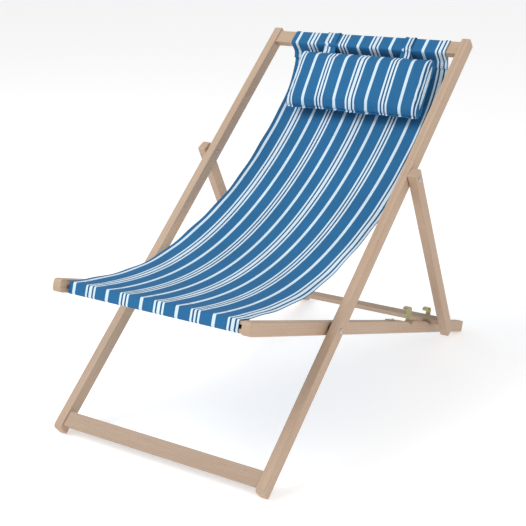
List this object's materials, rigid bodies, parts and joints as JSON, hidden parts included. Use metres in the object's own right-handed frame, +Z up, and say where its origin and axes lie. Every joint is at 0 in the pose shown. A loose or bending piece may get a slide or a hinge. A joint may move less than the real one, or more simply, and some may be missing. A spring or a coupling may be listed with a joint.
{
  "type": "beach chair",
  "caption": "Reclining sling beach chair: three hinged beech frames, a striped cloth sling and a hanging headrest pillow; folds nearly flat",
  "frame": {"origin": "on the floor, under the middle of the chair's box", "axes": "+Z up, the sitter's feet point to -Y, +X is the side called right in the node names (right as seen from in front, so the sitter's left), the pivots lie along X"},
  "size_m": [0.623, 1.0686, 0.8187],
  "materials": {
    "oiled_beech": "oiled, satin",
    "sling_canvas": "woven stripes, matte",
    "pillow_canvas": "woven stripes, matte",
    "yellow_zinc_steel": "yellow zinc plated strip steel",
    "nickel_steel": "nickel plated",
    "nylon": "matte"
  },
  "bodies": {
    "back_frame": {"back_rail_left": "oiled_beech", "back_rail_right": "oiled_beech", "foot_slat": "oiled_beech", "headrest_pillow": "pillow_canvas", "pillow_strap_left": "pillow_canvas", "pillow_strap_right": "pillow_canvas", "prop_pivot_bolt_left": "nickel_steel", "prop_pivot_bolt_right": "nickel_steel", "prop_pivot_nut_left": "nickel_steel", "prop_pivot_nut_right": "nickel_steel", "prop_pivot_washer_left": "nylon", "prop_pivot_washer_right": "nylon", "seat_pivot_bolt_left": "nickel_steel", "seat_pivot_bolt_right": "nickel_steel", "seat_pivot_nut_left": "nickel_steel", "seat_pivot_nut_right": "nickel_steel", "seat_pivot_spacer_left": "nylon", "seat_pivot_spacer_right": "nylon", "sling": "sling_canvas", "top_bar": "oiled_beech"},
    "seat_frame": {"catch_hook_front_left": "yellow_zinc_steel", "catch_hook_front_right": "yellow_zinc_steel", "catch_hook_rear_left": "yellow_zinc_steel", "catch_hook_rear_right": "yellow_zinc_steel", "front_bar_lower": "oiled_beech", "front_bar_upper": "oiled_beech", "hook_plate_screw_front_left": "yellow_zinc_steel", "hook_plate_screw_front_right": "yellow_zinc_steel", "hook_plate_screw_rear_left": "yellow_zinc_steel", "hook_plate_screw_rear_right": "yellow_zinc_steel", "hook_tab_screw_front_left": "yellow_zinc_steel", "hook_tab_screw_front_right": "yellow_zinc_steel", "hook_tab_screw_rear_left": "yellow_zinc_steel", "hook_tab_screw_rear_right": "yellow_zinc_steel", "seat_rail_left": "oiled_beech", "seat_rail_right": "oiled_beech"},
    "prop_frame": {"crossbar_pin_left": "oiled_beech", "crossbar_pin_right": "oiled_beech", "prop_crossbar": "oiled_beech", "prop_leg_left": "oiled_beech", "prop_leg_right": "oiled_beech"}
  },
  "joints": [
    {"name": "seat_fold", "type": "hinge", "parent": "back_frame", "child": "seat_frame", "pos_m": [0, -0.22247, 0.26471], "axis": [1, 0, 0], "range_deg": [0, 53], "deforming": ["sling"]},
    {"name": "prop_fold", "type": "hinge", "parent": "back_frame", "child": "prop_frame", "pos_m": [0, 0.10222, 0.53427], "axis": [1, 0, 0], "range_deg": [0, 103.9]}
  ],
  "couplings": [
    {"joint": "prop_fold", "follows": "seat_fold", "ratio": 1.95}
  ]
}
